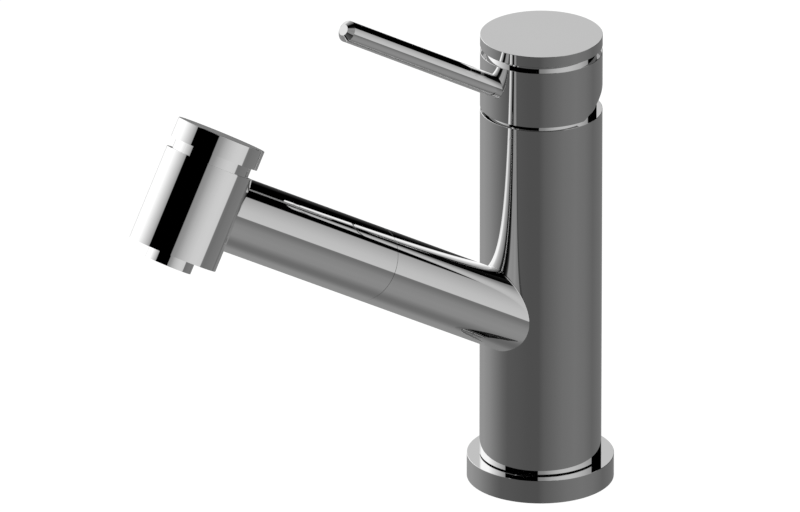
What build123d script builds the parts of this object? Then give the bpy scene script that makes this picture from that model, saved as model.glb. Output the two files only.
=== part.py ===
from build123d import *
from math import asin, cos, degrees, radians, sin, tan
import os

# Single-lever kitchen faucet with a pull-out spray spout, in millimetres.
# The origin is the centre of the base ring's underside, on the worktop.
# Up is +Z, the spout and the lever point to -Y, and hot water is on the -X side.

os.makedirs("parts", exist_ok=True)

# Clearances
fixed_gap = 0.05  # between pieces that are fitted into each other and stay there
running_gap = 0.08  # between a bearing and what turns or slides in it
free_gap = 0.3  # between pieces that pass each other without touching

# Base ring and its seal on the worktop
ring_d = 60.4
ring_h = 10.0
ring_edge = 0.1
seal_outer_d = 56.0
seal_width = 4.0
seal_h = 1.5

# Column
column_d = 50.0
column_wall = 3.6
column_top_z = 162.8
column_rise = 0.5  # the column stands this far off the base ring
seat_ledge = 0.6  # the bore is this much wider above the valve seat's ledge
edge_break = 0.1

# Mounting shank, hub and swivel bearing, from the column's bore inwards to the hoses' passage
slide_t = 2.4
hub_wall = 5.0
shank_wall = 2.5
shank_neck_wall = 1.9  # thread in the hub
shank_top_z = 20.0
shank_below_deck = 56.0
shank_relief_depth = 1.1
shank_relief_h = 2.0
shank_relief_lead = 1.0  # the relief groove starts this far above the worktop's underside
shank_lead_in = 0.8
hub_top_z = 42.0
hub_neck_wall = 4.0
flange_reach = 2.0
flange_h = 4.0
lower_slide_h = 4.0
upper_slide_z = 34.0
upper_slide_h = 6.0
clip_h = 1.2
clip_depth = 0.8
clip_reach = 2.0
clip_opening = 50.0  # degrees
rib_h = 4.0  # the column's inner rib, which rests on the lower slide ring
swivel_range = 60.0  # degrees each way
stop_screw_d = 5.0
stop_screw_z = 26.0
stop_slot_depth = 2.1
stop_screw_sink = 0.5
socket_flats = 2.5
socket_depth = 2.5

# Clamp under the worktop
deck_t = 30.0
clamp_width = 10.2
gasket_t = 3.0
washer_t = 2.0
nut_wall = 6.5
nut_h = 12.0

# Spout and pull-out wand
spout_rise = 30.0  # degrees above level
spout_axis_z = 66.3  # where the spout's axis meets the column's
spout_d = 31.2
spout_wall = 2.0
spout_fillet = 0.4
socket_spigot_wall = 1.0  # the end that is brazed into the column's wall
seam_s = 106.2  # along the spout's axis, from the column's axis
seam_gap = 0.1
head_s = 212.7
seam_edge = 0.05

# Spray head, by heights along its own axis from the spout's axis
head_d = 37.4
head_wall = 2.0
head_low = -23.65
head_over_spout = 0.5  # the head's shell reaches this far above the spout
button_h = 8.2
button_travel = 4.0
skirt_wall = 2.4
button_roof = 3.0
button_edge_r = 0.3
core_high = 7.5
core_low = -17.0
spool_bore_d = 8.1
spool_tail = 2.0
spool_clip_h = 1.0
spool_clip_d = 11.0
spring_wire = 1.2
spring_bore_d = 10.0
nozzle_d = 19.6
nozzle_low = -28.45
nozzle_wall = 1.8
nozzle_lip = 0.8
nozzle_flange_d = 22.8
nozzle_flange_h = 2.0
insert_h = 4.1
insert_lip_h = 1.2
insert_hole_d = 1.8
insert_pitch = 2.6
nub_count = 24
nub_circle_d = 27.6
nub_d = 1.7
nub_jet_d = 0.7
nub_reach = 1.0
nub_band = 3.5
nub_base_t = 1.2
plate_t = 2.8
plate_inset = 1.2  # the nubs stay inside the head's rim
spray_port_d = 3.0
spray_ports = 6

# Water line inside the wand
spigot_s = 82.0
spigot_bore_d = 17.2
inlet_s = 112.0
inlet_flange_t = 4.0
inlet_d = 20.0
inlet_end_s = 130.0
inlet_bore_d = 14.0
waterway_d = 13.0
waterway_bore_d = 8.0
waterway_depth = 5.0  # how far it enters the diverter core's side
connector_d = 16.6
connector_s = 98.0
nipple_l = 5.0
washer_l = 1.0
check_valve_l = 9.0

# Hose
hose_d = 12.0
hose_bore_d = 8.0
hose_side_gap = 0.6  # between the hose and the front of its passage
hose_bend_r = 40.0
hose_low_z = -62.0
coupling_d = 13.2
coupling_l = 18.0
guide_s = 60.0
guide_l = 18.0
guide_mouth = 3.0

# Valve seat and its threaded ports
seat_low_z = 108.0
seat_h = 20.0
port_circle_d = 16.9
port_step = 84.0  # degrees between hot, mixed and cold
inlet_thread_d = 10.0
inlet_thread_l = 12.0
port_d = 6.4
o_ring_d = 2.0

# Cartridge, stacked up from the valve seat
cartridge_d = 35.0
cartridge_wall = 1.6
cartridge_base_h = 4.0
port_seal_d = 9.2
port_seal_h = 1.0
disc_h = 4.0
slide_disc_d = 21.0
slide_disc_h = 3.5
slide_pocket_d = 15.0
slide_pocket_h = 1.5
slide_plate_h = 4.0
shoulder_z = 152.0
shoulder_t = 2.0
neck_d = 29.0
neck_top_z = 162.0
neck_wall = 2.0
carrier_flange_h = 3.7
carrier_top_z = 162.5
post_d = 11.0
cartridge_nut_h = 8.0
nut_slots = 6
nut_slot_w = 4.0
nut_slot_h = 2.5
bonnet_inset = 2.35
bonnet_brim_h = 0.6
bonnet_bore_gap = 0.5
bonnet_collar_h = 3.0
bonnet_wall = 1.5

# Stem and its pin
pivot_z = 168.0
lift_range = 25.0  # degrees
pin_d = 4.0
stem_w = 8.4
stem_t = 8.0
stem_low_z = 164.5
stem_top_z = 186.0
ball_z = 158.0
ball_d = 5.0
stem_tail_d = 3.4
post_over_ball = 2.2
ear_t = 3.0
ear_w = 7.2
ear_top = 3.4  # above the pivot

# Handle
handle_gap = 1.65
handle_top_z = 195.5
handle_disc_h = 4.6
handle_groove_h = 2.6
handle_groove_depth = 2.4
handle_wall = 4.5
handle_room_z = 170.0
collar_room_gap = 0.8  # round the bonnet ring's collar
collar_room_h = 1.5  # over it
stem_room_d = 24.0
stem_room_z = 178.0
cut_start = 1.5  # behind the axis
cut_rise = 28.5  # degrees
cut_room = 3.6  # the cut is this much deeper inside the wall
disc_stud_d = 6.0
disc_stud_l = 2.8
set_screw_z = 183.0
set_screw_d = 5.0
set_screw_sink = 3.0

# Lever rod
lever_d = 8.9
lever_axis_z = 164.6  # where the lever's axis meets the column's
lever_end_s = 122.0
lever_root_depth = 3.0  # past the inside of the handle's wall
lever_tip_bevel = 2.15

# Radii and heights that follow from the sizes above
column_r = column_d / 2
column_low_z = ring_h + column_rise
bore_r = column_r - column_wall
top_bore_r = bore_r + seat_ledge
hub_r = bore_r - slide_t
passage_r = hub_r - hub_wall
hub_neck_r = passage_r + hub_neck_wall
flange_r = hub_r + flange_reach
shank_r = passage_r + shank_wall
shank_neck_r = passage_r + shank_neck_wall
hose_y = hose_d / 2 + hose_side_gap - passage_r  # in front of the column's axis
flange_low_z = ring_h - flange_h
lower_slide_top_z = ring_h + lower_slide_h
upper_slide_top_z = upper_slide_z + upper_slide_h
spout_r = spout_d / 2
spout_bore_r = spout_r - spout_wall
wand_s = seam_s + seam_gap
head_high = spout_r + head_over_spout
head_r = head_d / 2
head_bore_r = head_r - head_wall
button_low = head_high + button_travel + free_gap
button_high = button_low + button_h
skirt_r = head_bore_r - free_gap
skirt_low = core_high + button_travel + free_gap
button_ceiling = button_high - button_roof
seat_top_z = seat_low_z + seat_h
disc_low_z = seat_top_z + cartridge_base_h
slide_disc_z = disc_low_z + disc_h
slide_plate_z = slide_disc_z + slide_disc_h
post_low_z = slide_plate_z + slide_plate_h
post_top_z = ball_z + post_over_ball
cartridge_r = cartridge_d / 2
cartridge_bore_r = cartridge_r - cartridge_wall
neck_bore_r = neck_d / 2 - neck_wall
carrier_low_z = shoulder_z - shoulder_t - free_gap - carrier_flange_h
slide_travel = (pivot_z - ball_z) * sin(radians(lift_range))
handle_low_z = column_top_z + handle_gap
bonnet_r = column_r - bonnet_inset
brim_top_z = column_top_z + bonnet_brim_h
collar_top_z = brim_top_z + bonnet_collar_h
handle_disc_z = handle_top_z - handle_disc_h
handle_groove_z = handle_disc_z - handle_groove_h

# Working planes along the spout, the spray head, the lever, the screws and the pin of the stem
spout_way = Vector(0, -cos(radians(spout_rise)), sin(radians(spout_rise)))
spout_plane = Plane(origin=(0, 0, spout_axis_z), x_dir=(1, 0, 0), z_dir=spout_way)
head_at = spout_plane.origin + spout_way * head_s
head_plane = Plane(origin=head_at, x_dir=(1, 0, 0), z_dir=spout_plane.y_dir)
lever_plane = Plane(origin=(0, 0, lever_axis_z), x_dir=(1, 0, 0), z_dir=spout_way)
stop_plane = Plane(origin=(0, 0, stop_screw_z), x_dir=(1, 0, 0), z_dir=(0, 1, 0))
set_screw_plane = Plane(origin=(0, 0, set_screw_z), x_dir=(1, 0, 0), z_dir=(0, 1, 0))
pin_plane = Plane(origin=(0, 0, pivot_z), x_dir=(0, 1, 0), z_dir=(1, 0, 0))


def round_layer(plane, low, high, outer_r, inner_r=0.0, mode=Mode.ADD):
    """Add or cut a round layer between two heights of a plane, with a hole where inner_r is set."""
    with BuildSketch(plane.offset(low)) as outline:
        Circle(outer_r)
        if inner_r:
            Circle(inner_r, mode=Mode.SUBTRACT)
    extrude(outline.sketch, amount=high - low, mode=mode)


def turned(plane, points, mode=Mode.ADD):
    """Turn a closed outline of (radius, height) points about a plane's own axis."""
    section = Plane(origin=plane.origin, x_dir=plane.x_dir, z_dir=-plane.y_dir)
    with BuildSketch(section) as outline:
        with BuildLine():
            Polyline(*points, close=True)
        make_face()
    revolve(outline.sketch, axis=Axis(plane.origin, plane.z_dir), mode=mode)


def cord_ring(plane, height, outer_r, cord_r):
    """Add a round rubber ring whose outside has the given radius."""
    section = Plane(origin=plane.origin, x_dir=plane.x_dir, z_dir=-plane.y_dir)
    with BuildSketch(section) as outline:
        with Locations((outer_r - cord_r, height)):
            Circle(cord_r)
    revolve(outline.sketch, axis=Axis(plane.origin, plane.z_dir))


def cord_groove(plane, height, outer_r, cord_r):
    """Cut the groove that a round rubber ring lies in."""
    half = cord_r + fixed_gap
    round_layer(plane, height - half, height + half, outer_r + cord_r, outer_r - 2 * half, Mode.SUBTRACT)


def around(plane, low, high, circle_r, count, r, mode=Mode.SUBTRACT):
    """Cut or add a circle of round holes or pegs between two heights of a plane."""
    with BuildSketch(plane.offset(low)) as outline:
        with PolarLocations(circle_r, count):
            Circle(r)
    extrude(outline.sketch, amount=high - low, mode=mode)


def ports(low, high, r, inner_r=0.0, mode=Mode.SUBTRACT):
    """Cut or add the three water ports of the valve: hot, mixed and cold."""
    with BuildSketch(Plane.XY.offset(low)) as outline:
        with PolarLocations(port_circle_d / 2, 3, 90 - port_step, 2 * port_step, endpoint=True):
            Circle(r)
            if inner_r:
                Circle(inner_r, mode=Mode.SUBTRACT)
    extrude(outline.sketch, amount=high - low, mode=mode)


def sector(half_angle, reach):
    """Corners of a wedge about the +Y direction, for a sketch on a level plane."""
    steps = [90 - half_angle + half_angle * k / 2 for k in range(5)]
    return [(0, 0)] + [(reach * cos(radians(a)), reach * sin(radians(a))) for a in steps]


def back_cut(depth, r):
    """Room under the oblique plane at the handle's back, deeper by some height, within a radius."""
    slope = tan(radians(cut_rise))
    start = cut_start - depth / slope
    with BuildPart() as room:
        with BuildSketch(Plane.YZ):
            with BuildLine():
                Polyline(
                    (start, handle_low_z),
                    (column_d, handle_low_z + (column_d - start) * slope),
                    (column_d, handle_low_z),
                    close=True,
                )
            make_face()
        extrude(amount=column_d, both=True)
        round_layer(Plane.XY, handle_low_z, handle_top_z, r, mode=Mode.INTERSECT)
    return room.part


def rim(part, r, height):
    """Edges of a part that are level circles of one radius at one height."""
    circles = part.edges().filter_by(GeomType.CIRCLE)
    return circles.filter_by(lambda e: abs(e.radius - r) < 1e-4 and abs(e.arc_center.Z - height) < 1e-4)


# Base ring
with BuildPart() as base_ring:
    round_layer(Plane.XY, 0, ring_h, ring_d / 2, shank_r + free_gap)
    round_layer(Plane.XY, flange_low_z, ring_h, flange_r + fixed_gap, mode=Mode.SUBTRACT)
    seal_inner_r = seal_outer_d / 2 - seal_width
    round_layer(
        Plane.XY, 0, seal_h, seal_outer_d / 2 + fixed_gap, seal_inner_r - fixed_gap, Mode.SUBTRACT
    )
    chamfer(rim(base_ring, ring_d / 2, ring_h), ring_edge)
base_ring.part.label = "base_ring"
export_step(base_ring.part, "parts/base_ring.step")

# Rubber seal in the base ring's underside
with BuildPart() as deck_seal:
    round_layer(Plane.XY, 0, seal_h, seal_outer_d / 2, seal_inner_r)
deck_seal.part.label = "deck_seal"
export_step(deck_seal.part, "parts/deck_seal.step")

# Fixed hub that the column turns on, with the stop slot at the back
with BuildPart() as swivel_hub:
    neck_thread_r = shank_neck_r + fixed_gap
    turned(
        Plane.XY,
        [
            (neck_thread_r, flange_low_z),
            (flange_r, flange_low_z),
            (flange_r, ring_h),
            (hub_r, ring_h),
            (hub_r, upper_slide_z),
            (hub_neck_r, upper_slide_z),
            (hub_neck_r, hub_top_z),
            (passage_r, hub_top_z),
            (passage_r, shank_top_z),
            (neck_thread_r, shank_top_z),
        ],
    )
    slot_r = hub_r - stop_slot_depth
    slot_half_h = stop_screw_d / 2 + free_gap
    slot_half_angle = swivel_range + degrees(asin(slot_half_h / slot_r))
    with BuildSketch(Plane.XY.offset(stop_screw_z - slot_half_h)):
        Polygon(*sector(slot_half_angle, column_d), align=None)
        Circle(column_r, mode=Mode.INTERSECT)
        Circle(slot_r, mode=Mode.SUBTRACT)
    extrude(amount=2 * slot_half_h, mode=Mode.SUBTRACT)
    clip_groove_top_z = upper_slide_top_z + clip_h + 2 * fixed_gap
    round_layer(
        Plane.XY, upper_slide_top_z, clip_groove_top_z, hub_r, hub_neck_r - clip_depth, Mode.SUBTRACT
    )
swivel_hub.part.label = "swivel_hub"
export_step(swivel_hub.part, "parts/swivel_hub.step")

# Slide rings between the hub and the column, and the clip that keeps the upper one on
with BuildPart() as lower_slide_ring:
    round_layer(Plane.XY, ring_h, lower_slide_top_z, bore_r - running_gap, hub_r + fixed_gap)
lower_slide_ring.part.label = "lower_slide_ring"
export_step(lower_slide_ring.part, "parts/lower_slide_ring.step")

with BuildPart() as upper_slide_ring:
    round_layer(Plane.XY, upper_slide_z, upper_slide_top_z, bore_r - running_gap, hub_neck_r + fixed_gap)
upper_slide_ring.part.label = "upper_slide_ring"
export_step(upper_slide_ring.part, "parts/upper_slide_ring.step")

with BuildPart() as retaining_clip:
    with BuildSketch(Plane.XY.offset(upper_slide_top_z)):
        Circle(hub_neck_r + clip_reach)
        Circle(hub_neck_r - clip_depth + fixed_gap, mode=Mode.SUBTRACT)
        Polygon(*sector(clip_opening / 2, column_d), align=None, mode=Mode.SUBTRACT)
    extrude(amount=clip_h)
retaining_clip.part.label = "retaining_clip"
export_step(retaining_clip.part, "parts/retaining_clip.step")

# Mounting shank: a stretch for the worktop, a relief groove and the clamp nut's stretch
with BuildPart() as mounting_shank:
    relief_r = shank_r - shank_relief_depth
    relief_top_z = shank_relief_lead - deck_t
    turned(
        Plane.XY,
        [
            (passage_r, shank_top_z),
            (shank_neck_r, shank_top_z),
            (shank_neck_r, 0),
            (shank_r, 0),
            (shank_r, relief_top_z),
            (relief_r, relief_top_z),
            (relief_r, relief_top_z - shank_relief_h),
            (shank_r, relief_top_z - shank_relief_h),
            (shank_r, shank_lead_in - shank_below_deck),
            (shank_r - shank_lead_in, -shank_below_deck),
            (passage_r, -shank_below_deck),
        ],
    )
mounting_shank.part.label = "mounting_shank"
export_step(mounting_shank.part, "parts/mounting_shank.step")

# Clamp gasket, washer and nut under the worktop
clamp_bore_r = shank_r + free_gap
clamp_r = clamp_bore_r + clamp_width
washer_top_z = -deck_t - gasket_t
nut_top_z = washer_top_z - washer_t
with BuildPart() as clamp_gasket:
    round_layer(Plane.XY, washer_top_z, -deck_t, clamp_r, clamp_bore_r)
clamp_gasket.part.label = "clamp_gasket"
export_step(clamp_gasket.part, "parts/clamp_gasket.step")

with BuildPart() as clamp_washer:
    round_layer(Plane.XY, nut_top_z, washer_top_z, clamp_r, clamp_bore_r)
clamp_washer.part.label = "clamp_washer"
export_step(clamp_washer.part, "parts/clamp_washer.step")

with BuildPart() as clamp_nut:
    with BuildSketch(Plane.XY.offset(nut_top_z - nut_h)):
        RegularPolygon(shank_r + nut_wall, 6, major_radius=False)
        Circle(shank_r + running_gap, mode=Mode.SUBTRACT)
    extrude(amount=nut_h)
clamp_nut.part.label = "clamp_nut"
export_step(clamp_nut.part, "parts/clamp_nut.step")

# Column, turned from a tube, with the oblique hole for the spout's socket
socket_spigot_r = spout_bore_r + socket_spigot_wall
with BuildPart() as column_casing:
    round_layer(Plane.XY, column_low_z, column_top_z, column_r)
    chamfer(rim(column_casing, column_r, column_top_z), edge_break)
    chamfer(rim(column_casing, column_r, column_low_z), edge_break)
    rib_low_z = lower_slide_top_z + fixed_gap
    round_layer(Plane.XY, column_low_z, rib_low_z, bore_r, mode=Mode.SUBTRACT)
    round_layer(Plane.XY, rib_low_z, rib_low_z + rib_h, hub_r + free_gap, mode=Mode.SUBTRACT)
    round_layer(Plane.XY, rib_low_z + rib_h, seat_low_z, bore_r, mode=Mode.SUBTRACT)
    round_layer(Plane.XY, seat_low_z, column_top_z, top_bore_r, mode=Mode.SUBTRACT)
    round_layer(spout_plane, 0, seam_s, socket_spigot_r + fixed_gap, mode=Mode.SUBTRACT)
    round_layer(stop_plane, 0, column_d, stop_screw_d / 2 + fixed_gap, mode=Mode.SUBTRACT)
column_casing.part.label = "column_casing"
export_step(column_casing.part, "parts/column_casing.step")

# Socket for the wand: the fixed part of the spout, fitted to the column's round wall and brazed into it
with BuildPart() as spout_socket:
    round_layer(Plane.XY, column_low_z, column_top_z, column_r)
    round_layer(spout_plane, 0, seam_s, spout_r)
    joint_edges = spout_socket.edges().filter_by(
        lambda e: e.geom_type not in (GeomType.CIRCLE, GeomType.LINE)
    )
    fillet(joint_edges, spout_fillet)
    round_layer(Plane.XY, column_low_z, column_top_z, column_r + fixed_gap, mode=Mode.SUBTRACT)
    spout_end = spout_socket.edges().filter_by(GeomType.CIRCLE).sort_by(Axis.Y)[0]
    chamfer(spout_end, seam_edge)
    round_layer(spout_plane, 0, column_d, socket_spigot_r)
    round_layer(Plane.XY, column_low_z, column_top_z, bore_r, mode=Mode.SUBTRACT)
    round_layer(spout_plane, 0, seam_s, spout_bore_r, mode=Mode.SUBTRACT)
spout_socket.part.label = "spout_socket"
export_step(spout_socket.part, "parts/spout_socket.step")


def socket_screw(plane, low, high, r):
    """Add a headless screw with a hexagon socket in its outer end."""
    round_layer(plane, low, high, r)
    with BuildSketch(plane.offset(high - socket_depth)) as socket:
        RegularPolygon(socket_flats / 2, 6, major_radius=False)
    extrude(socket.sketch, amount=socket_depth, mode=Mode.SUBTRACT)


# Screw at the back of the column whose tip runs in the hub's slot
with BuildPart() as swivel_stop_screw:
    socket_screw(stop_plane, slot_r + free_gap, column_r - stop_screw_sink, stop_screw_d / 2)
swivel_stop_screw.part.label = "swivel_stop_screw"
export_step(swivel_stop_screw.part, "parts/swivel_stop_screw.step")

# Valve seat: threaded ports below, plain ports above, and two rubber rings against the column
seat_ring_r = o_ring_d / 2
seat_ring_heights = [seat_low_z + seat_h * k / 4 for k in (1, 3)]
with BuildPart() as valve_seat:
    round_layer(Plane.XY, seat_low_z, seat_top_z, top_bore_r - fixed_gap)
    ports(seat_low_z, seat_low_z + inlet_thread_l, inlet_thread_d / 2)
    ports(seat_low_z, seat_top_z, port_d / 2)
    for ring_z in seat_ring_heights:
        cord_groove(Plane.XY, ring_z, top_bore_r - fixed_gap, seat_ring_r)
valve_seat.part.label = "valve_seat"
export_step(valve_seat.part, "parts/valve_seat.step")

with BuildPart() as valve_seat_seals:
    for ring_z in seat_ring_heights:
        cord_ring(Plane.XY, ring_z, top_bore_r - fixed_gap, seat_ring_r)
valve_seat_seals.part.label = "valve_seat_seals"
export_step(valve_seat_seals.part, "parts/valve_seat_seals.step")

# Guide bush that the hose slides through, inside the spout
with BuildPart() as hose_guide:
    guide_bore_r = hose_d / 2 + free_gap
    turned(
        spout_plane,
        [
            (guide_bore_r + guide_mouth, guide_s),
            (spout_bore_r - fixed_gap, guide_s),
            (spout_bore_r - fixed_gap, guide_s + guide_l),
            (guide_bore_r, guide_s + guide_l),
            (guide_bore_r, guide_s + guide_mouth),
        ],
    )
hose_guide.part.label = "hose_guide"
export_step(hose_guide.part, "parts/hose_guide.step")

# Hose: along the spout, round one bend and down through the hub and the shank
with BuildPart() as pullout_hose:
    bend_z = spout_axis_z - hose_y * tan(radians(spout_rise))
    with BuildLine() as hose_route:
        FilletPolyline(
            spout_plane.origin + spout_way * connector_s,
            (0, hose_y, bend_z),
            (0, hose_y, hose_low_z),
            radius=hose_bend_r,
        )
    with BuildSketch(Plane(origin=hose_route.line @ 0, x_dir=(1, 0, 0), z_dir=-spout_way)):
        Circle(hose_d / 2)
        Circle(hose_bore_d / 2, mode=Mode.SUBTRACT)
    sweep(path=hose_route.line)
pullout_hose.part.label = "pullout_hose"
export_step(pullout_hose.part, "parts/pullout_hose.step")

# Coupling on the hose's lower end, with its groove for a clip
with BuildPart() as hose_coupling:
    hose_axis = Plane(origin=(0, hose_y, 0))
    round_layer(hose_axis, hose_low_z - coupling_l, hose_low_z, coupling_d / 2, hose_bore_d / 2)
    groove_mid_z = hose_low_z - coupling_l / 2
    round_layer(
        hose_axis, groove_mid_z - o_ring_d, groove_mid_z + o_ring_d, coupling_d, hose_d / 2, Mode.SUBTRACT
    )
hose_coupling.part.label = "hose_coupling"
export_step(hose_coupling.part, "parts/hose_coupling.step")

# Cartridge base with its port seals
with BuildPart() as cartridge_base:
    round_layer(Plane.XY, seat_top_z, disc_low_z, cartridge_r)
    ports(seat_top_z, disc_low_z, port_d / 2)
    ports(seat_top_z, seat_top_z + port_seal_h, port_seal_d / 2 + fixed_gap)
cartridge_base.part.label = "cartridge_base"
export_step(cartridge_base.part, "parts/cartridge_base.step")

with BuildPart() as port_seals:
    ports(seat_top_z, seat_top_z + port_seal_h, port_seal_d / 2, port_d / 2, Mode.ADD)
port_seals.part.label = "port_seals"
export_step(port_seals.part, "parts/port_seals.step")

# Fixed ceramic disc, and the one that slides on it
with BuildPart() as lower_ceramic_disc:
    round_layer(Plane.XY, disc_low_z, slide_disc_z, cartridge_bore_r - fixed_gap)
    ports(disc_low_z, slide_disc_z, port_d / 2)
lower_ceramic_disc.part.label = "lower_ceramic_disc"
export_step(lower_ceramic_disc.part, "parts/lower_ceramic_disc.step")

with BuildPart() as upper_ceramic_disc:
    round_layer(Plane.XY, slide_disc_z, slide_plate_z, slide_disc_d / 2)
    round_layer(
        Plane.XY, slide_disc_z, slide_disc_z + slide_pocket_h, slide_pocket_d / 2, mode=Mode.SUBTRACT
    )
upper_ceramic_disc.part.label = "upper_ceramic_disc"
export_step(upper_ceramic_disc.part, "parts/upper_ceramic_disc.step")

# Plastic post on the sliding disc, with the pocket for the stem's ball
with BuildPart() as disc_carrier:
    round_layer(Plane.XY, slide_plate_z, post_low_z, slide_disc_d / 2)
    round_layer(Plane.XY, post_low_z, post_top_z, post_d / 2)
    pocket_low_z = ball_z - ball_d / 2 - free_gap
    round_layer(Plane.XY, pocket_low_z, post_top_z, ball_d / 2 + free_gap, mode=Mode.SUBTRACT)
disc_carrier.part.label = "disc_carrier"
export_step(disc_carrier.part, "parts/disc_carrier.step")

# Cartridge housing: a wide lower shell and a neck that the carrier turns in
with BuildPart() as cartridge_housing:
    turned(
        Plane.XY,
        [
            (cartridge_bore_r, disc_low_z),
            (cartridge_r, disc_low_z),
            (cartridge_r, shoulder_z),
            (neck_d / 2, shoulder_z),
            (neck_d / 2, neck_top_z),
            (neck_bore_r, neck_top_z),
            (neck_bore_r, shoulder_z - shoulder_t),
            (cartridge_bore_r, shoulder_z - shoulder_t),
        ],
    )
cartridge_housing.part.label = "cartridge_housing"
export_step(cartridge_housing.part, "parts/cartridge_housing.step")

# Nut that clamps the cartridge, with spanner slots in its top
nut_seat_z = shoulder_z + cartridge_nut_h
with BuildPart() as cartridge_nut:
    round_layer(Plane.XY, shoulder_z, nut_seat_z, top_bore_r - fixed_gap, neck_d / 2 + fixed_gap)
    with BuildSketch(Plane.XY.offset(nut_seat_z - nut_slot_h)):
        with PolarLocations(top_bore_r, nut_slots):
            Rectangle(column_wall, nut_slot_w)
    extrude(amount=nut_slot_h, mode=Mode.SUBTRACT)
cartridge_nut.part.label = "cartridge_nut"
export_step(cartridge_nut.part, "parts/cartridge_nut.step")

# Trim ring that closes the column, with a collar in the seam under the handle
with BuildPart() as bonnet_ring:
    round_layer(Plane.XY, nut_seat_z, column_top_z, top_bore_r - fixed_gap, neck_d / 2 + bonnet_bore_gap)
    brim_bore_r = neck_bore_r - running_gap + free_gap
    round_layer(Plane.XY, column_top_z, brim_top_z, bonnet_r, brim_bore_r)
    round_layer(Plane.XY, brim_top_z, collar_top_z, bonnet_r, bonnet_r - bonnet_wall)
bonnet_ring.part.label = "bonnet_ring"
export_step(bonnet_ring.part, "parts/bonnet_ring.step")

# Turning carrier: it holds the stem's pin in two ears and lets the post slide in a slot
with BuildPart() as cartridge_carrier:
    carrier_flange_r = cartridge_bore_r - free_gap
    round_layer(Plane.XY, carrier_low_z, carrier_low_z + carrier_flange_h, carrier_flange_r)
    round_layer(Plane.XY, carrier_low_z, carrier_top_z, neck_bore_r - running_gap)
    slot_w = post_d + 2 * free_gap
    with BuildSketch(Plane.XY.offset(carrier_low_z)):
        with Locations((0, -slide_travel / 2)):
            SlotCenterToCenter(slide_travel, slot_w, rotation=90)
    extrude(amount=carrier_top_z - carrier_low_z, mode=Mode.SUBTRACT)
    ear_x = stem_w / 2 + free_gap + ear_t / 2
    with BuildSketch(Plane.XY.offset(carrier_top_z)):
        with Locations((-ear_x, 0), (ear_x, 0)):
            Rectangle(ear_t, ear_w)
    extrude(amount=pivot_z + ear_top - carrier_top_z)
    pin_reach = ear_x + ear_t / 2
    round_layer(pin_plane, -pin_reach, pin_reach, pin_d / 2 + fixed_gap, mode=Mode.SUBTRACT)
cartridge_carrier.part.label = "cartridge_carrier"
export_step(cartridge_carrier.part, "parts/cartridge_carrier.step")

with BuildPart() as stem_pin:
    round_layer(pin_plane, -pin_reach, pin_reach, pin_d / 2)
stem_pin.part.label = "stem_pin"
export_step(stem_pin.part, "parts/stem_pin.step")

# Stem: a square bar for the handle, an eye for the pin and a ball that drives the sliding disc
with BuildPart() as cartridge_stem:
    with BuildSketch(Plane.XY.offset(stem_low_z)):
        Rectangle(stem_w, stem_t)
    extrude(amount=stem_top_z - stem_low_z)
    round_layer(Plane.XY, ball_z, stem_low_z, stem_tail_d / 2)
    with Locations((0, 0, ball_z)):
        Sphere(ball_d / 2)
    round_layer(pin_plane, -stem_w, stem_w, pin_d / 2 + running_gap, mode=Mode.SUBTRACT)
cartridge_stem.part.label = "cartridge_stem"
export_step(cartridge_stem.part, "parts/cartridge_stem.step")

# Handle cap: a turned shell with the stem's socket, the lever's hole and the oblique cut at the back
lever_root_s = (column_r - handle_wall - lever_root_depth) / cos(radians(spout_rise))
with BuildPart() as handle_cap:
    round_layer(Plane.XY, handle_low_z, handle_groove_z, column_r)
    chamfer(rim(handle_cap, column_r, handle_groove_z), edge_break)
    round_layer(Plane.XY, handle_groove_z, handle_disc_z, column_r - handle_groove_depth)
    round_layer(Plane.XY, handle_low_z, handle_room_z, column_r - handle_wall, mode=Mode.SUBTRACT)
    round_layer(Plane.XY, handle_room_z, stem_room_z, stem_room_d / 2, mode=Mode.SUBTRACT)
    with BuildSketch(Plane.XY.offset(stem_room_z)):
        Rectangle(stem_w + 2 * fixed_gap, stem_t + 2 * fixed_gap)
    extrude(amount=stem_top_z + fixed_gap - stem_room_z, mode=Mode.SUBTRACT)
    stud_hole_z = handle_disc_z - disc_stud_l - fixed_gap
    round_layer(Plane.XY, stud_hole_z, handle_disc_z, disc_stud_d / 2 + fixed_gap, mode=Mode.SUBTRACT)
    round_layer(lever_plane, lever_root_s, lever_end_s, lever_d / 2 + fixed_gap, mode=Mode.SUBTRACT)
    round_layer(set_screw_plane, 0, column_d, set_screw_d / 2 + fixed_gap, mode=Mode.SUBTRACT)
    collar_room_r = bonnet_r + collar_room_gap
    round_layer(Plane.XY, handle_low_z, collar_top_z + collar_room_h, collar_room_r, mode=Mode.SUBTRACT)
    add(back_cut(cut_room, collar_room_r), mode=Mode.SUBTRACT)
    add(back_cut(0, column_d), mode=Mode.SUBTRACT)
handle_cap.part.label = "handle_cap"
export_step(handle_cap.part, "parts/handle_cap.step")

# Disc on top of the handle, held by its stud
with BuildPart() as handle_disc:
    round_layer(Plane.XY, handle_disc_z, handle_top_z, column_r)
    chamfer(rim(handle_disc, column_r, handle_top_z), edge_break)
    chamfer(rim(handle_disc, column_r, handle_disc_z), edge_break)
    round_layer(Plane.XY, handle_disc_z - disc_stud_l, handle_disc_z, disc_stud_d / 2)
handle_disc.part.label = "handle_disc"
export_step(handle_disc.part, "parts/handle_disc.step")

with BuildPart() as lever_rod:
    turned(
        lever_plane,
        [
            (0, lever_root_s),
            (lever_d / 2, lever_root_s),
            (lever_d / 2, lever_end_s),
            (0, lever_end_s),
        ],
    )
    chamfer(lever_rod.edges().sort_by(Axis.Y)[0], lever_tip_bevel)
lever_rod.part.label = "lever_rod"
export_step(lever_rod.part, "parts/lever_rod.step")

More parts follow.
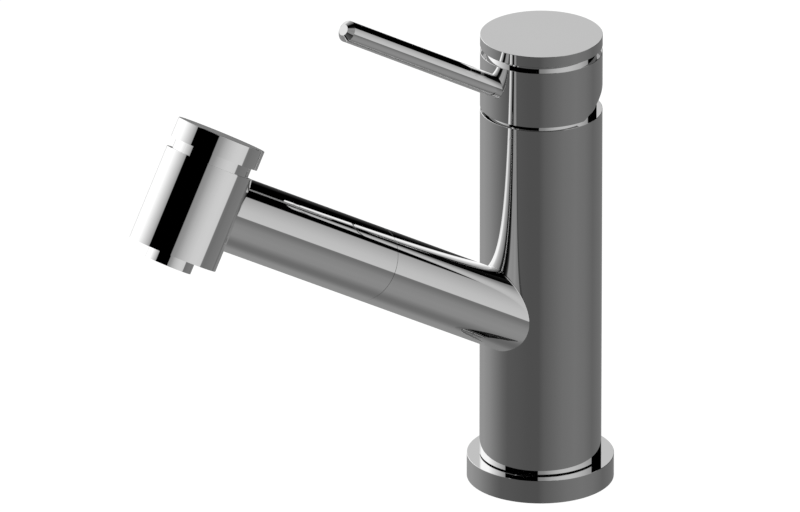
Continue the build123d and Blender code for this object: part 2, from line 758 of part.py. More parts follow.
with BuildPart() as handle_set_screw:
    socket_screw(set_screw_plane, stem_t / 2, column_r - set_screw_sink, set_screw_d / 2)
handle_set_screw.part.label = "handle_set_screw"
export_step(handle_set_screw.part, "parts/handle_set_screw.step")

# Wand: the pull-out part of the spout and the spray head's shell
with BuildPart() as wand_shell:
    round_layer(spout_plane, wand_s, head_s, spout_r)
    wand_end = wand_shell.edges().filter_by(GeomType.CIRCLE).sort_by(Axis.Y)[-1]
    chamfer(wand_end, seam_edge)
    round_layer(head_plane, head_low, head_high, head_r)
    round_layer(spout_plane, wand_s, head_s, spout_bore_r, mode=Mode.SUBTRACT)
    round_layer(head_plane, head_low, head_high, head_bore_r, mode=Mode.SUBTRACT)
wand_shell.part.label = "wand_shell"
export_step(wand_shell.part, "parts/wand_shell.step")

# Collar that docks the wand in the spout
with BuildPart() as dock_spigot:
    round_layer(spout_plane, spigot_s, wand_s, spout_bore_r - free_gap, spigot_bore_d / 2)
    round_layer(spout_plane, wand_s, inlet_s, spout_bore_r - fixed_gap, spigot_bore_d / 2)
dock_spigot.part.label = "dock_spigot"
export_step(dock_spigot.part, "parts/dock_spigot.step")

# Hose connector, its washer, the check valve and the waterway behind it
nipple_end_s = inlet_s + nipple_l
valve_s = nipple_end_s + washer_l
valve_end_s = valve_s + check_valve_l
inlet_r = inlet_bore_d / 2
waterway_end_s = head_s - head_bore_r + waterway_depth
with BuildPart() as hose_connector:
    round_layer(spout_plane, connector_s, inlet_s, connector_d / 2, hose_bore_d / 2)
    round_layer(spout_plane, inlet_s, nipple_end_s, inlet_r - fixed_gap, hose_bore_d / 2)
hose_connector.part.label = "hose_connector"
export_step(hose_connector.part, "parts/hose_connector.step")

with BuildPart() as hose_washer:
    round_layer(spout_plane, nipple_end_s, valve_s, inlet_r - fixed_gap, hose_bore_d / 2)
hose_washer.part.label = "hose_washer"
export_step(hose_washer.part, "parts/hose_washer.step")

with BuildPart() as check_valve:
    round_layer(spout_plane, valve_s, valve_end_s, inlet_r - fixed_gap)
    around(spout_plane, valve_s, valve_end_s, inlet_r / 2, spray_ports, spray_port_d / 3)
check_valve.part.label = "check_valve"
export_step(check_valve.part, "parts/check_valve.step")

with BuildPart() as waterway:
    round_layer(spout_plane, inlet_s, inlet_s + inlet_flange_t, spout_bore_r - fixed_gap)
    round_layer(spout_plane, inlet_s, inlet_end_s, inlet_d / 2)
    round_layer(spout_plane, inlet_end_s, waterway_end_s, waterway_d / 2)
    round_layer(spout_plane, inlet_s, valve_end_s, inlet_r, mode=Mode.SUBTRACT)
    round_layer(spout_plane, valve_end_s, waterway_end_s, waterway_bore_d / 2, mode=Mode.SUBTRACT)
waterway.part.label = "waterway"
export_step(waterway.part, "parts/waterway.step")

# Diverter core in the head, with the waterway's pocket in its side and a rubber ring round it
core_r = head_bore_r - fixed_gap
core_seal_h = core_low + 2 * o_ring_d
with BuildPart() as diverter_core:
    round_layer(head_plane, core_low, core_high, core_r)
    round_layer(head_plane, core_low, core_high, spool_bore_d / 2, mode=Mode.SUBTRACT)
    round_layer(
        spout_plane, head_s - head_r, waterway_end_s, waterway_d / 2 + fixed_gap, mode=Mode.SUBTRACT
    )
    round_layer(spout_plane, waterway_end_s, head_s, waterway_bore_d / 2, mode=Mode.SUBTRACT)
    around(head_plane, core_low, 0, nub_circle_d / 2, spray_ports, spray_port_d / 2)
    cord_groove(head_plane, core_seal_h, core_r, seat_ring_r / 2)
diverter_core.part.label = "diverter_core"
export_step(diverter_core.part, "parts/diverter_core.step")

with BuildPart() as core_seal:
    cord_ring(head_plane, core_seal_h, core_r, seat_ring_r / 2)
core_seal.part.label = "core_seal"
export_step(core_seal.part, "parts/core_seal.step")

# Spray plate under the core, with a chamber for the ring of rubber nubs
plate_low = head_low + plate_inset
plate_floor = plate_low + plate_t
nub_ring_r = nub_circle_d / 2
with BuildPart() as spray_plate:
    round_layer(head_plane, plate_low, core_low, core_r, nozzle_d / 2 + fixed_gap)
    flange_seat = core_low - nozzle_flange_h
    round_layer(
        head_plane, flange_seat, core_low, nozzle_flange_d / 2 + fixed_gap, mode=Mode.SUBTRACT
    )
    chamber_outer_r = nub_ring_r + nub_band / 2
    chamber_inner_r = nub_ring_r - nub_band / 2
    round_layer(head_plane, plate_floor, core_low, chamber_outer_r, chamber_inner_r, Mode.SUBTRACT)
    around(head_plane, plate_low, plate_floor, nub_ring_r, nub_count, nub_d / 2 + fixed_gap)
spray_plate.part.label = "spray_plate"
export_step(spray_plate.part, "parts/spray_plate.step")

with BuildPart() as spray_nubs:
    nub_top = plate_floor + nub_base_t
    round_layer(
        head_plane, plate_floor, nub_top, chamber_outer_r - fixed_gap, chamber_inner_r + fixed_gap
    )
    nub_end = plate_low - nub_reach
    around(head_plane, nub_end, plate_floor, nub_ring_r, nub_count, nub_d / 2, Mode.ADD)
    around(head_plane, nub_end, nub_top, nub_ring_r, nub_count, nub_jet_d / 2)
spray_nubs.part.label = "spray_nubs"
export_step(spray_nubs.part, "parts/spray_nubs.step")

# Nozzle with the aerator's honeycomb insert
nozzle_bore_r = nozzle_d / 2 - nozzle_wall
insert_low = nozzle_low + insert_lip_h
with BuildPart() as aerator_housing:
    turned(
        head_plane,
        [
            (nozzle_bore_r - nozzle_lip, nozzle_low),
            (nozzle_d / 2, nozzle_low),
            (nozzle_d / 2, flange_seat),
            (nozzle_flange_d / 2, flange_seat),
            (nozzle_flange_d / 2, core_low),
            (nozzle_bore_r, core_low),
            (nozzle_bore_r, insert_low),
            (nozzle_bore_r - nozzle_lip, insert_low),
        ],
    )
aerator_housing.part.label = "aerator_housing"
export_step(aerator_housing.part, "parts/aerator_housing.step")

with BuildPart() as aerator_insert:
    round_layer(head_plane, insert_low, insert_low + insert_h, nozzle_bore_r - fixed_gap)
    round_layer(head_plane, insert_low, insert_low + insert_h, insert_hole_d / 2, mode=Mode.SUBTRACT)
    for circle in (1, 2):
        hole_ring_r = circle * insert_pitch
        around(head_plane, insert_low, insert_low + insert_h, hole_ring_r, 6 * circle, insert_hole_d / 2)
aerator_insert.part.label = "aerator_insert"
export_step(aerator_insert.part, "parts/aerator_insert.step")

# Button on the head, with a skirt that slides in the head's bore
with BuildPart() as button_cap:
    round_layer(head_plane, button_low, button_high, head_r)
    fillet(button_cap.faces().sort_by(Axis.Z)[-1].edges(), button_edge_r)
    round_layer(head_plane, skirt_low, button_low, skirt_r)
    round_layer(head_plane, skirt_low, button_ceiling, skirt_r - skirt_wall, mode=Mode.SUBTRACT)
button_cap.part.label = "button_cap"
export_step(button_cap.part, "parts/button_cap.step")

# Spool that the button pushes, its clip under the core, its rubber rings and the return spring
spool_r = spool_bore_d / 2 - running_gap
spool_low = core_low - spool_tail
clip_top = core_low - free_gap
clip_r = spool_r - clip_depth
spool_seal_heights = [core_low + 2 * o_ring_d, core_high - 2 * o_ring_d]
with BuildPart() as diverter_spool:
    round_layer(head_plane, spool_low, button_ceiling, spool_r)
    for seal_height in spool_seal_heights:
        cord_groove(head_plane, seal_height, spool_r, seat_ring_r / 2)
    round_layer(
        head_plane, clip_top - spool_clip_h - fixed_gap, clip_top, head_r, clip_r, mode=Mode.SUBTRACT
    )
diverter_spool.part.label = "diverter_spool"
export_step(diverter_spool.part, "parts/diverter_spool.step")

with BuildPart() as spool_seals:
    for seal_height in spool_seal_heights:
        cord_ring(head_plane, seal_height, spool_r, seat_ring_r / 2)
spool_seals.part.label = "spool_seals"
export_step(spool_seals.part, "parts/spool_seals.step")

with BuildPart() as spool_clip:
    round_layer(head_plane, clip_top - spool_clip_h, clip_top, spool_clip_d / 2, clip_r + fixed_gap)
spool_clip.part.label = "spool_clip"
export_step(spool_clip.part, "parts/spool_clip.step")

with BuildPart() as button_spring:
    round_layer(
        head_plane, core_high, button_ceiling, spring_bore_d / 2 + spring_wire, spring_bore_d / 2
    )
button_spring.part.label = "button_spring"
export_step(button_spring.part, "parts/button_spring.step")
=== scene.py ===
"""Kitchen faucet with a pull-out spray: finishes, hose, spring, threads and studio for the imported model.

Lengths are in metres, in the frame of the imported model: the origin is the centre of the base ring's
underside on the worktop, +Z is up, and the spout and the lever point to -Y.
"""

from __future__ import annotations

import logging
import math
from dataclasses import dataclass, field
from enum import Enum
from typing import Any, Mapping, Protocol, Sequence, Union

import bmesh
import bpy
from mathutils import Matrix, Vector

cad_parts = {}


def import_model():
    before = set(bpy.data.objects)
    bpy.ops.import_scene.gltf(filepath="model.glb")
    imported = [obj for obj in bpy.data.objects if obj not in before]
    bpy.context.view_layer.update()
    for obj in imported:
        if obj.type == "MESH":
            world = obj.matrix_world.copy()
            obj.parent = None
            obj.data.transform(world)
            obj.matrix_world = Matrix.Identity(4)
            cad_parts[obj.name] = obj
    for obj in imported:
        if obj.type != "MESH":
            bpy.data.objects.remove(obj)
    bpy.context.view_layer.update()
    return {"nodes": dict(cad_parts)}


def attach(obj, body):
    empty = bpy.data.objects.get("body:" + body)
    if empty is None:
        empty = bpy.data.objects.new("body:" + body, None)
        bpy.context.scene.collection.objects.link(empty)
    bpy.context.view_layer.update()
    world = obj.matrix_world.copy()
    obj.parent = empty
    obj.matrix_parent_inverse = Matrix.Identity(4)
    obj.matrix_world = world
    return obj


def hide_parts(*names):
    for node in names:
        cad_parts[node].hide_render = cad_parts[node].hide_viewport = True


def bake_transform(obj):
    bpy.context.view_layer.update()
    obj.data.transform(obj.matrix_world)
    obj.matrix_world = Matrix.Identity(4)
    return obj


LOG = logging.getLogger("faucet")

Triple = tuple[float, float, float]
Colour = Triple
Stops = Sequence[tuple[float, float]]
Value = Union["Flow", float, int, Sequence[float]]
WHITE = (1.0, 1.0, 1.0, 1.0)

# How the round surfaces of polished pieces are found and refined
TRUE_WITHIN = 0.00002
WELD = 0.000001
CUTS = 3
SNAP_ROUNDS = 4
SAME_SIDE = 0.8
SAME_WAY = 0.99999
LEVEL = 0.999
SHARP = math.radians(30)
ROLL_SPAN = (-0.2, 1.02)


@dataclass(frozen=True)
class Axis:
    """A straight line that pieces of the faucet are turned about."""

    start: Triple
    way: Triple

    def at(self, distance: float) -> Vector:
        """Return the point at a distance along the axis."""
        return Vector(self.start) + distance * Vector(self.way)

    def along(self, point: Vector) -> float:
        """Return how far along the axis a point lies."""
        return (point - Vector(self.start)).dot(Vector(self.way))

    def out(self, point: Vector) -> Vector:
        """Return the way from the axis straight out to a point."""
        return point - self.at(self.along(point))


LEAN = math.radians(30)
SPOUT_WAY = (0.0, -math.cos(LEAN), math.sin(LEAN))
COLUMN = Axis((0.0, 0.0, 0.0), (0.0, 0.0, 1.0))
SPOUT = Axis((0.0, 0.0, 0.0663), SPOUT_WAY)
LEVER = Axis((0.0, 0.0, 0.1646), SPOUT_WAY)
HEAD = Axis(tuple(SPOUT.at(0.2127)), (0.0, math.sin(LEAN), math.cos(LEAN)))
HOSE_Y = -0.0074
BACK_CUT = math.radians(28.5)
FLAT_WAYS = [
    *(Vector(axis.way) for axis in (COLUMN, SPOUT, HEAD)),
    Vector((0.0, math.sin(BACK_CUT), -math.cos(BACK_CUT))),
]


class RoundFace(Protocol):
    """A round surface that knows where it lies and which way it faces."""

    def facing(self, point: Vector) -> Vector | None:
        """Return the outward way at a point of the surface, or None off it."""

    def nearest(self, point: Vector) -> Vector:
        """Return the point of the surface that is nearest to a point."""


@dataclass(frozen=True)
class Barrel:
    """A straight round surface about an axis."""

    axis: Axis
    r: float

    def facing(self, point: Vector) -> Vector | None:
        """Return the outward way at a point of the surface, or None off it."""
        out = self.axis.out(point)
        return out.normalized() if abs(out.length - self.r) < TRUE_WITHIN else None

    def nearest(self, point: Vector) -> Vector:
        """Return the point of the surface that is nearest to a point."""
        out = self.axis.out(point)
        return point + (self.r / out.length - 1) * out


@dataclass(frozen=True)
class Bevel:
    """A cone about an axis, which narrows by 1 mm in each mm of height."""

    axis: Axis
    end: float
    end_r: float
    wide_r: float

    def facing(self, point: Vector) -> Vector | None:
        """Find which way the surface faces.

        Args:
            point: A point near the surface.

        Returns:
            The outward way there, or None off the surface.
        """
        out = self.axis.out(point)
        if abs(out.length - self._r_at(point)) > TRUE_WITHIN or out.length > self.wide_r + TRUE_WITHIN:
            return None
        return (out.normalized() + Vector(self.axis.way)).normalized()

    def nearest(self, point: Vector) -> Vector:
        """Return the point of the surface that is level with a point."""
        out = self.axis.out(point)
        return point + (self._r_at(point) / out.length - 1) * out

    def _r_at(self, point: Vector) -> float:
        """Return the radius of the cone at a point's height."""
        return self.end_r + self.end - self.axis.along(point)


@dataclass(frozen=True)
class RolledRim:
    """A rounded rim about an axis."""

    axis: Axis
    height: float
    r: float
    roll: float

    def facing(self, point: Vector) -> Vector | None:
        """Return the outward way at a point of the surface, or None off it."""
        way = self._from_middle(point)
        return way.normalized() if abs(way.length - self.roll) < TRUE_WITHIN else None

    def nearest(self, point: Vector) -> Vector:
        """Return the point of the surface that is nearest to a point."""
        way = self._from_middle(point)
        return point + (self.roll / way.length - 1) * way

    def _from_middle(self, point: Vector) -> Vector:
        """Return the way from the middle of the rim's rounding to a point."""
        return point - self.axis.at(self.height) - self.r * self.axis.out(point).normalized()


@dataclass(frozen=True)
class Fillet:
    """The hollow between two round pieces that meet."""

    first: Barrel
    second: Barrel
    roll: float

    def facing(self, point: Vector) -> Vector | None:
        """Return the outward way at a point of the surface, or None off it."""
        way = self._to_middle(point)
        return way.normalized() if way else None

    def nearest(self, point: Vector) -> Vector:
        """Return the point of the surface that is nearest to a point."""
        way = self._to_middle(point)
        return point + (1 - self.roll / way.length) * way if way else point

    def _to_middle(self, point: Vector) -> Vector | None:
        """Find the ball that rolls along both pieces.

        Args:
            point: A point near the surface.

        Returns:
            The way from the point to the middle of the ball, or None off the surface.
        """
        one, two = self.first.axis.out(point), self.second.axis.out(point)
        share_one = 1 - (one.length - self.first.r) / self.roll
        share_two = 1 - (two.length - self.second.r) / self.roll
        low, high = ROLL_SPAN
        if not all(low <= share <= high for share in (share_one, share_two)):
            return None
        one.normalize()
        two.normalize()
        lean = one.dot(two)
        way = (share_one - lean * share_two) * one + (share_two - lean * share_one) * two
        return self.roll / (1 - lean * lean) * way


COLUMN_SIDE = Barrel(COLUMN, 0.025)
SPOUT_SIDE = Barrel(SPOUT, 0.0156)
HEAD_SIDE = Barrel(HEAD, 0.0187)


def light_of(shade: float) -> float:
    """Return the linear light that looks like a grey from 0 to 255 on a screen."""
    c = shade / 255
    return c / 12.92 if c <= 0.04045 else ((c + 0.055) / 1.055) ** 2.4


def mesh_of(form: bmesh.types.BMesh, name: str) -> bpy.types.Mesh:
    """Turn a form that is being edited into a mesh.

    Args:
        form: The form, which is freed.
        name: The mesh's name.

    Returns:
        The new mesh.
    """
    mesh = bpy.data.meshes.new(name)
    form.to_mesh(mesh)
    form.free()
    return mesh


def placed(data: bpy.types.ID) -> bpy.types.Object:
    """Put a mesh, a camera or a light into the scene.

    Args:
        data: What to show.

    Returns:
        An object of the same name.
    """
    item = bpy.data.objects.new(data.name, data)
    bpy.context.scene.collection.objects.link(item)
    return item


class Flow:
    """An output socket in a node tree, with arithmetic that adds Math nodes."""

    def __init__(self, graph: Graph, socket: bpy.types.NodeSocket) -> None:
        """Keep the graph and the socket that carries the value."""
        self.graph = graph
        self.socket = socket

    def math(self, operation: str, *values: Value) -> Flow:
        """Return the result of a new Math node with these inputs in order."""
        inputs = dict(enumerate(values))
        return self.graph.node("ShaderNodeMath", {"operation": operation}, inputs)[0]

    def __add__(self, other: Value) -> Flow:
        """Return self + other."""
        return self.math("ADD", self, other)

    __radd__ = __add__

    def __sub__(self, other: Value) -> Flow:
        """Return self - other."""
        return self.math("SUBTRACT", self, other)

    def __rsub__(self, other: Value) -> Flow:
        """Return other - self."""
        return self.math("SUBTRACT", other, self)

    def __mul__(self, other: Value) -> Flow:
        """Return self * other."""
        return self.math("MULTIPLY", self, other)

    __rmul__ = __mul__

    def __truediv__(self, other: Value) -> Flow:
        """Return self / other."""
        return self.math("DIVIDE", self, other)

    def __neg__(self) -> Flow:
        """Return -self."""
        return self.math("MULTIPLY", self, -1.0)

    def __mod__(self, other: Value) -> Flow:
        """Return self wrapped into the range from 0 to other."""
        return self.math("FLOORED_MODULO", self, other)

    def __abs__(self) -> Flow:
        """Return the size of self without its sign."""
        return self.math("ABSOLUTE", self)

    def sine(self) -> Flow:
        """Return the sine of self in radians."""
        return self.math("SINE", self)

    def arcsine(self) -> Flow:
        """Return the angle in radians whose sine is self."""
        return self.math("ARCSINE", self)

    def angle_to(self, other: Value) -> Flow:
        """Return the angle of the point (other, self) in radians."""
        return self.math("ARCTAN2", self, other)

    def above(self, other: Value) -> Flow:
        """Return 1 where self is greater than other, and 0 elsewhere."""
        return self.math("GREATER_THAN", self, other)

    def most(self, other: Value) -> Flow:
        """Return the greater of self and other."""
        return self.math("MAXIMUM", self, other)


class Step:
    """A node that was just added, whose outputs are read as flows."""

    def __init__(self, graph: Graph, node: bpy.types.Node) -> None:
        """Keep the graph and the node."""
        self.graph = graph
        self.node = node

    def __getitem__(self, key: str | int) -> Flow:
        """Return the output with this name or number."""
        return Flow(self.graph, self.node.outputs[key])


class Graph:
    """A node tree that is written as Python expressions."""

    def __init__(self, tree: bpy.types.NodeTree) -> None:
        """Start from an empty tree."""
        self.tree = tree
        tree.nodes.clear()

    def node(
        self,
        kind: str,
        settings: Mapping[str, Any] | None = None,
        inputs: Mapping[str | int, Value] | None = None,
    ) -> Step:
        """Add a node.

        Args:
            kind: The node's type.
            settings: What is set on the node itself. stops are the stops of a ramp, as (place, grey).
            inputs: Values or flows for its sockets, by name or number.

        Returns:
            The node, with its outputs as flows.
        """
        node = self.tree.nodes.new(kind)
        for name, setting in (settings or {}).items():
            if name == "stops":
                self._set_ramp(node.color_ramp, setting)
            else:
                setattr(node, name, setting)
        for key, value in (inputs or {}).items():
            socket = node.inputs[key]
            if isinstance(value, Flow):
                self.tree.links.new(value.socket, socket)
            else:
                socket.default_value = value
        return Step(self, node)

    @staticmethod
    def _set_ramp(ramp: bpy.types.ColorRamp, stops: Stops) -> None:
        """Give a colour ramp its grey stops.

        Args:
            ramp: The ramp of a node.
            stops: Places from 0 to 1 with their linear greys, in order.
        """
        while len(ramp.elements) > 1:
            ramp.elements.remove(ramp.elements[-1])
        for k, (place, grey) in enumerate(stops):
            element = ramp.elements[0] if k == 0 else ramp.elements.new(place)
            element.position = place
            element.color = (grey, grey, grey, 1.0)

    def ramp(self, factor: Flow, stops: Stops) -> Flow:
        """Return the grey that a table of places from 0 to 1 holds at a factor."""
        return self.node("ShaderNodeValToRGB", {"stops": stops}, {"Fac": factor})["Color"]

    def tint(self, factor: Flow, first: Colour, second: Colour) -> Flow:
        """Return a mix of two colours, of which the factor is the share of the second."""
        settings = {"data_type": "RGBA", "clamp_factor": True}
        return self.node("ShaderNodeMix", settings, {0: factor, 6: (*first, 1.0), 7: (*second, 1.0)})[2]

    def place(self) -> Flow:
        """Return the point on the surface, in the object's own metres."""
        return self.node("ShaderNodeTexCoord")["Object"]

    def axes(self, vector: Flow) -> tuple[Flow, Flow, Flow]:
        """Return a vector's three parts."""
        parts = self.node("ShaderNodeSeparateXYZ", None, {0: vector})
        return parts[0], parts[1], parts[2]

    def scaled(self, vector: Flow, factors: Triple) -> Flow:
        """Return a vector stretched by a factor along each axis."""
        return self.node("ShaderNodeVectorMath", {"operation": "MULTIPLY"}, {0: vector, 1: factors})[0]

    def noise(self, vector: Flow, scale: float, detail: float = 2.0, roughness: float = 0.5) -> Flow:
        """Return soft noise around 0.5 with features of about 1 / scale metres."""
        values = {"Vector": vector, "Scale": scale, "Detail": detail, "Roughness": roughness}
        return self.node("ShaderNodeTexNoise", None, values)["Fac"]

    def bump(self, height: Flow, strength: float, depth: float) -> Flow:
        """Return a normal that shows a height field, depth metres deep."""
        values = {"Height": height, "Strength": strength, "Distance": depth}
        return self.node("ShaderNodeBump", None, values)["Normal"]

    def emission(self, colour: Value, strength: float) -> Flow:
        """Return a shader that glows."""
        return self.node("ShaderNodeEmission", None, {"Color": colour, "Strength": strength})[0]

    def between(self, factor: Flow, first: Flow, second: Flow) -> Flow:
        """Return the shader that fades from one shader to another by a factor."""
        return self.node("ShaderNodeMixShader", None, {0: factor, 1: first, 2: second})[0]

    def surface(self, shader: Flow) -> None:
        """Make a shader the surface of the material."""
        self.node("ShaderNodeOutputMaterial", None, {"Surface": shader})


def blank_material(name: str) -> tuple[bpy.types.Material, Graph]:
    """Make a material with an empty node tree.

    Args:
        name: The material's name.

    Returns:
        The material and its tree.
    """
    material = bpy.data.materials.new(name)
    material.use_nodes = True
    return material, Graph(material.node_tree)


@dataclass(frozen=True)
class Finish:
    """A surface finish, which becomes one material made of nodes."""

    slot: str
    colour: Colour
    shadow_colour: Colour
    roughness: tuple[float, float]
    grain: float = 400.0
    relief: float = 0.00001
    cloud: float = 45.0
    cloud_share: float = 0.65
    bump: float = 0.35
    metallic: float = 0.0

    def make(self) -> bpy.types.Material:
        """Build the material.

        Returns:
            A material whose surface is one Principled shader.
        """
        material, graph = blank_material(f"{self.slot}_finish")
        values = {"Metallic": self.metallic, **self.varying(graph)}
        graph.surface(graph.node("ShaderNodeBsdfPrincipled", None, values)[0])
        return material

    def varying(self, graph: Graph) -> dict[str, Flow]:
        """Return the flows that change over the surface.

        Args:
            graph: The material's node tree.

        Returns:
            Flows by the name of the shader's socket.
        """
        point = graph.place()
        cloud = graph.noise(point, self.cloud, detail=3.0)
        fine = graph.noise(point, self.grain)
        mottle = self.cloud_share * cloud + (1 - self.cloud_share) * fine
        low, high = self.roughness
        return {
            "Base Color": graph.tint(mottle, self.shadow_colour, self.colour),
            "Roughness": low + (high - low) * fine,
            "Normal": graph.bump(fine, self.bump, self.relief),
        }


@dataclass(frozen=True)
class MirrorChrome(Finish):
    """Polished plating: a clear mirror with a trace of wiping haze."""

    cloud: float = 22.0
    metallic: float = 1.0
    wipe: Triple = (1.0, 1.0, 0.16)

    def varying(self, graph: Graph) -> dict[str, Flow]:
        """Return the haze in colour and roughness.

        Args:
            graph: The material's node tree.

        Returns:
            Flows by the name of the shader's socket.
        """
        point = graph.place()
        cloud = graph.noise(point, self.cloud, detail=4.0, roughness=0.6)
        wiped = graph.noise(graph.scaled(point, self.wipe), self.grain, detail=3.0, roughness=0.65)
        low, high = self.roughness
        return {
            "Base Color": graph.tint(cloud, self.shadow_colour, self.colour),
            "Roughness": low + (high - low) * cloud * wiped,
        }


@dataclass(frozen=True)
class TurnedMetal(Finish):
    """Machined metal with fine tool rings along its height."""

    cloud: float = 60.0
    bump: float = 0.25
    metallic: float = 1.0
    ring: float = 0.00035
    ring_share: float = 0.4
    wander: float = 3.0

    def varying(self, graph: Graph) -> dict[str, Flow]:
        """Return tool rings and a faint tarnish.

        Args:
            graph: The material's node tree.

        Returns:
            Flows by the name of the shader's socket.
        """
        point = graph.place()
        _, _, height = graph.axes(point)
        tarnish = graph.noise(point, self.cloud, detail=4.0, roughness=0.6)
        rings = 0.5 + 0.5 * (height * (math.tau / self.ring) + self.wander * tarnish).sine()
        mottle = (1 - self.ring_share) * tarnish + self.ring_share * rings
        low, high = self.roughness
        return {
            "Base Color": graph.tint(tarnish, self.shadow_colour, self.colour),
            "Roughness": low + (high - low) * mottle,
            "Normal": graph.bump(rings, self.bump, self.relief),
        }


@dataclass(frozen=True)
class BraidedSleeve(Finish):
    """Nylon sleeve woven from two sets of strands that wind opposite ways round the hose."""

    bump: float = 0.8
    strands: int = 10
    rise: float = 0.0105
    run_y: float = HOSE_Y
    bend_y: float = -0.0200

    def varying(self, graph: Graph) -> dict[str, Flow]:
        """Return the weave, from the place along and round the hose, with painted shade that darkens each
        strand from its crown towards its edges.

        Args:
            graph: The material's node tree.

        Returns:
            Flows by the name of the shader's socket.
        """
        x, y, z = graph.axes(graph.place())
        lifted = z - SPOUT.start[2]
        in_spout = (-y).above(-self.bend_y)
        along = in_spout * (math.sin(LEAN) * lifted - math.cos(LEAN) * y) + (1 - in_spout) * z
        side = in_spout * (math.cos(LEAN) * lifted + math.sin(LEAN) * y) + (1 - in_spout) * (y - self.run_y)
        turn = x.angle_to(side) * (self.strands / math.tau)
        climb = along / (self.rise / 2)
        first = abs((turn + climb) % 1.0 - 0.5) * 2.0
        second = abs((turn - climb) % 1.0 - 0.5) * 2.0
        over = ((turn + climb) % 2.0).above(1.0)
        crown = over * (1 - first) + (1 - over) * (1 - second)
        low, high = self.roughness
        return {
            # Base Color is painted shade: each strand darkens from its crown to near black at the gaps
            # between strands.
            "Base Color": graph.tint(crown, self.shadow_colour, self.colour),
            "Roughness": high - (high - low) * crown,
            "Normal": graph.bump(crown, self.bump, self.relief),
        }


class Surface(Enum):
    """The finishes of this faucet, by what they cover."""

    CHROME = MirrorChrome(
        "polished_chrome", (0.815, 0.815, 0.815), (0.785, 0.785, 0.785), (0.012, 0.045), 130.0
    )
    BRASS = TurnedMetal("brass", (0.80, 0.60, 0.31), (0.66, 0.47, 0.22), (0.20, 0.38), relief=0.00002)
    STEEL = TurnedMetal("steel", (0.66, 0.66, 0.67), (0.55, 0.55, 0.56), (0.16, 0.30))
    BLACK_RUBBER = Finish(
        "black_rubber", (0.034, 0.034, 0.035), (0.018, 0.018, 0.018), (0.52, 0.72), 1500.0
    )
    GREY_RUBBER = Finish("grey_rubber", (0.18, 0.18, 0.19), (0.13, 0.13, 0.14), (0.48, 0.66), 1500.0)
    BEARING = Finish("bearing_plastic", (0.80, 0.80, 0.77), (0.70, 0.70, 0.67), (0.34, 0.50), 1100.0)
    CARTRIDGE = Finish("cartridge_plastic", (0.64, 0.66, 0.68), (0.54, 0.56, 0.58), (0.32, 0.48), 1100.0)
    BLACK_PLASTIC = Finish(
        "black_plastic", (0.055, 0.055, 0.06), (0.035, 0.035, 0.04), (0.30, 0.46), 1100.0
    )
    WHITE_PLASTIC = Finish("white_plastic", (0.82, 0.82, 0.81), (0.72, 0.72, 0.71), (0.30, 0.44), 1100.0)
    CERAMIC = Finish("ceramic", (0.89, 0.88, 0.85), (0.82, 0.81, 0.78), (0.10, 0.20), 2500.0, 0.000002)
    # The second colour of the braid is painted shade for the gaps between the strands.
    BRAID = BraidedSleeve(
        "hose_braid", (0.42, 0.43, 0.45), (0.05, 0.05, 0.055), (0.30, 0.62), 900.0, 0.0003
    )


class Paint:
    """The materials of the faucet, each made once."""

    def __init__(self) -> None:
        """Start with no materials."""
        self.made: dict[Surface, bpy.types.Material] = {}

    def of(self, surface: Surface) -> bpy.types.Material:
        """Find the material of a finish, or make it at its first use.

        Args:
            surface: The finish.

        Returns:
            Its material.
        """
        if surface not in self.made:
            self.made[surface] = surface.value.make()
        return self.made[surface]

    def coat(self, piece: bpy.types.Object, surface: Surface) -> None:
        """Give a piece one finish all over."""
        piece.data.materials.clear()
        piece.data.materials.append(self.of(surface))


